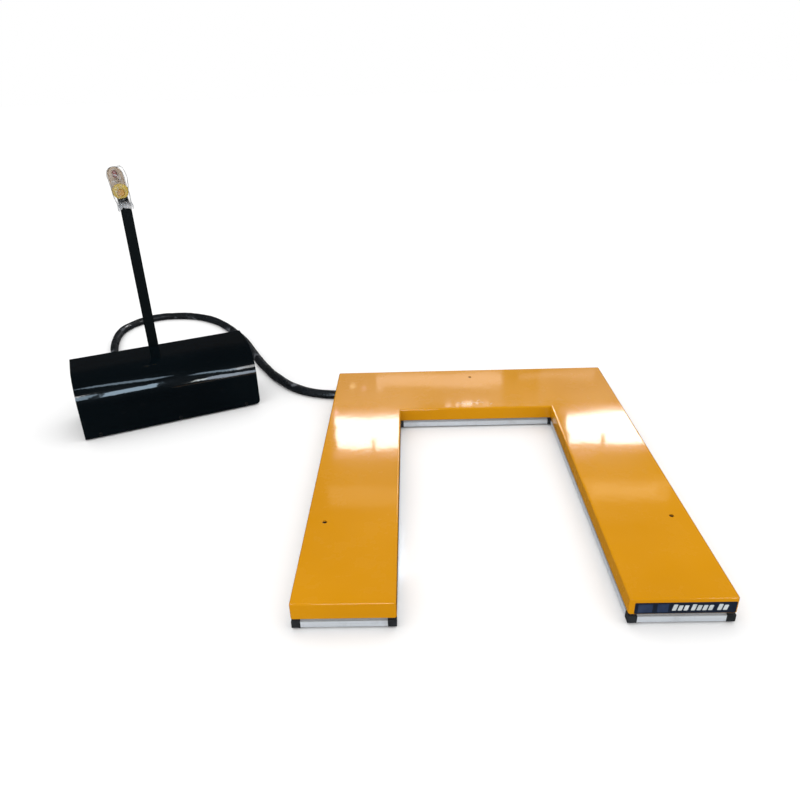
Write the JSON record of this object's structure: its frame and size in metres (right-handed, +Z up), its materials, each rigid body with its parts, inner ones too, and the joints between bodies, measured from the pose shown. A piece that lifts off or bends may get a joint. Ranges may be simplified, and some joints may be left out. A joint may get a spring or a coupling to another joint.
{
  "type": "U-shaped lift table",
  "caption": "U-shaped low-profile scissor lift table with a separate electro-hydraulic power pack, control post and connecting hose, closed height under a pallet's forks.",
  "frame": {"origin": "centre of the table's footprint on the floor, which is the centre of its four floor anchor holes", "axes": "+Z up; the U opens towards -Y; the power pack stands on the -X side"},
  "size_m": [2.4425, 2.5006, 0.9888],
  "materials": {
    "deck_paint": "gloss",
    "dark_frame_paint": "satin",
    "bright_steel": "satin",
    "chromed_rod": "polished",
    "bronze_bush": "satin",
    "black_gloss_paint": "gloss",
    "black_satin_paint": "satin",
    "rail_aluminium": "satin",
    "motor_aluminium": "cast",
    "black_plastic": "matte",
    "pack_rubber": "matte",
    "label_film": "gloss",
    "grey_plastic": "matte",
    "yellow_plastic": "matte",
    "red_plastic": "gloss",
    "amber_plastic": "gloss",
    "clear_film": "clear",
    "sleeve_wrap": "matte"
  },
  "bodies": {
    "base": {"base_roller_angles": "dark_frame_paint", "base_ties": "dark_frame_paint", "base_box_sections": "dark_frame_paint", "base_lugs": "dark_frame_paint", "base_lug_bushes": "bronze_bush", "barrel_pins": "bright_steel", "table_hose_gland": "bright_steel", "hose_sleeve": "sleeve_wrap", "pack_cover": "black_gloss_paint", "cover_screws": "black_satin_paint", "pack_back_panel": "black_satin_paint", "pack_tray": "black_satin_paint", "pack_feet": "pack_rubber", "oil_tank": "black_satin_paint", "oil_filler_cap": "black_plastic", "pump_block": "motor_aluminium", "motor": "motor_aluminium", "motor_fan_cover": "black_plastic", "solenoid_valve": "bright_steel", "electrical_box": "grey_plastic", "pressure_pipe": "bright_steel", "pack_hose_gland": "bright_steel", "mains_inlet": "black_plastic", "control_post": "black_satin_paint", "post_clamp": "black_satin_paint", "control_body": "yellow_plastic", "control_housing": "grey_plastic", "button_rings": "grey_plastic", "clear_bag": "clear_film"},
    "inner_scissors": {"inner_arms": "dark_frame_paint", "inner_torsion_shaft": "bright_steel", "upper_roller_axles": "bright_steel", "centre_pins": "bright_steel", "rod_lug_frames": "dark_frame_paint"},
    "outer_scissors": {"outer_arms": "dark_frame_paint", "outer_torsion_shaft": "bright_steel", "lower_roller_axles": "bright_steel", "centre_bushes": "bronze_bush"},
    "platform": {"platform_deck": "deck_paint", "lifting_eye_nuts": "bright_steel", "load_label": "label_film", "deck_ribs": "dark_frame_paint", "deck_hinge_lugs": "dark_frame_paint", "deck_lug_bushes": "bronze_bush", "trip_frame_studs": "dark_frame_paint", "trip_switches": "black_plastic"},
    "trip_frame": {"trip_rails": "rail_aluminium", "trip_corner_blocks": "black_plastic"},
    "lower_rollers_left": {"lower_rollers_left": "bright_steel"},
    "lower_rollers_right": {"lower_rollers_right": "bright_steel"},
    "upper_rollers_left": {"upper_rollers_left": "bright_steel"},
    "upper_rollers_right": {"upper_rollers_right": "bright_steel"},
    "barrels": {"cylinder_barrels": "black_gloss_paint", "cylinder_glands": "bright_steel"},
    "rods": {"pistons": "bright_steel", "piston_rods": "chromed_rod", "rod_pins": "bright_steel"},
    "stop_button": {"stop_button": "amber_plastic"},
    "up_button": {"up_button": "red_plastic"},
    "down_button": {"down_button": "grey_plastic"}
  },
  "joints": [
    {"name": "lift", "type": "hinge", "parent": "base", "child": "inner_scissors", "pos_m": [0, 0.59, 0.024], "axis": [-1, 0, 0], "range_deg": [0, 39.54]},
    {"name": "scissor_centre", "type": "hinge", "parent": "inner_scissors", "child": "outer_scissors", "pos_m": [0, -0.02476, 0.041], "axis": [1, 0, 0], "range_deg": [0, 79.08]},
    {"name": "deck_hinge", "type": "hinge", "parent": "outer_scissors", "child": "platform", "pos_m": [0, 0.59, 0.058], "axis": [-1, 0, 0], "range_deg": [0, 39.54]},
    {"name": "trip_frame_slide", "type": "slide", "parent": "platform", "child": "trip_frame", "axis": [0, 0, 1], "range_m": [0, 0.008]},
    {"name": "barrel_swing", "type": "hinge", "parent": "base", "child": "barrels", "pos_m": [0, 0.04, 0.032], "axis": [1, 0, 0], "range_deg": [0, 15.43]},
    {"name": "rod_stroke", "type": "slide", "parent": "barrels", "child": "rods", "axis": [0, 0.9992, 0.0403], "range_m": [0, 0.0739]},
    {"name": "lower_roller_spin_left", "type": "hinge", "parent": "outer_scissors", "child": "lower_rollers_left", "pos_m": [-0.4325, -0.63953, 0.024], "axis": [1, 0, 0], "continuous": true},
    {"name": "lower_roller_spin_right", "type": "hinge", "parent": "outer_scissors", "child": "lower_rollers_right", "pos_m": [0.4325, -0.63953, 0.024], "axis": [1, 0, 0], "continuous": true},
    {"name": "upper_roller_spin_left", "type": "hinge", "parent": "inner_scissors", "child": "upper_rollers_left", "pos_m": [-0.4325, -0.63953, 0.058], "axis": [1, 0, 0], "continuous": true},
    {"name": "upper_roller_spin_right", "type": "hinge", "parent": "inner_scissors", "child": "upper_rollers_right", "pos_m": [0.4325, -0.63953, 0.058], "axis": [1, 0, 0], "continuous": true},
    {"name": "stop_button_press", "type": "slide", "parent": "base", "child": "stop_button", "axis": [-0.4226, 0.9063, 0], "range_m": [0, 0.0025], "stiffness_N_per_m": 1500, "springref_m": -0.001},
    {"name": "up_button_press", "type": "slide", "parent": "base", "child": "up_button", "axis": [-0.4226, 0.9063, 0], "range_m": [0, 0.0015], "stiffness_N_per_m": 800, "springref_m": -0.001},
    {"name": "down_button_press", "type": "slide", "parent": "base", "child": "down_button", "axis": [-0.4226, 0.9063, 0], "range_m": [0, 0.0015], "stiffness_N_per_m": 800, "springref_m": -0.001}
  ],
  "couplings": [
    {"joint": "scissor_centre", "follows": "lift", "ratio": 2},
    {"joint": "deck_hinge", "follows": "lift", "ratio": 1},
    {"joint": "barrel_swing", "follows": "lift", "ratio": 0.39},
    {"joint": "rod_stroke", "follows": "lift", "m_per_rad": 0.107}
  ]
}
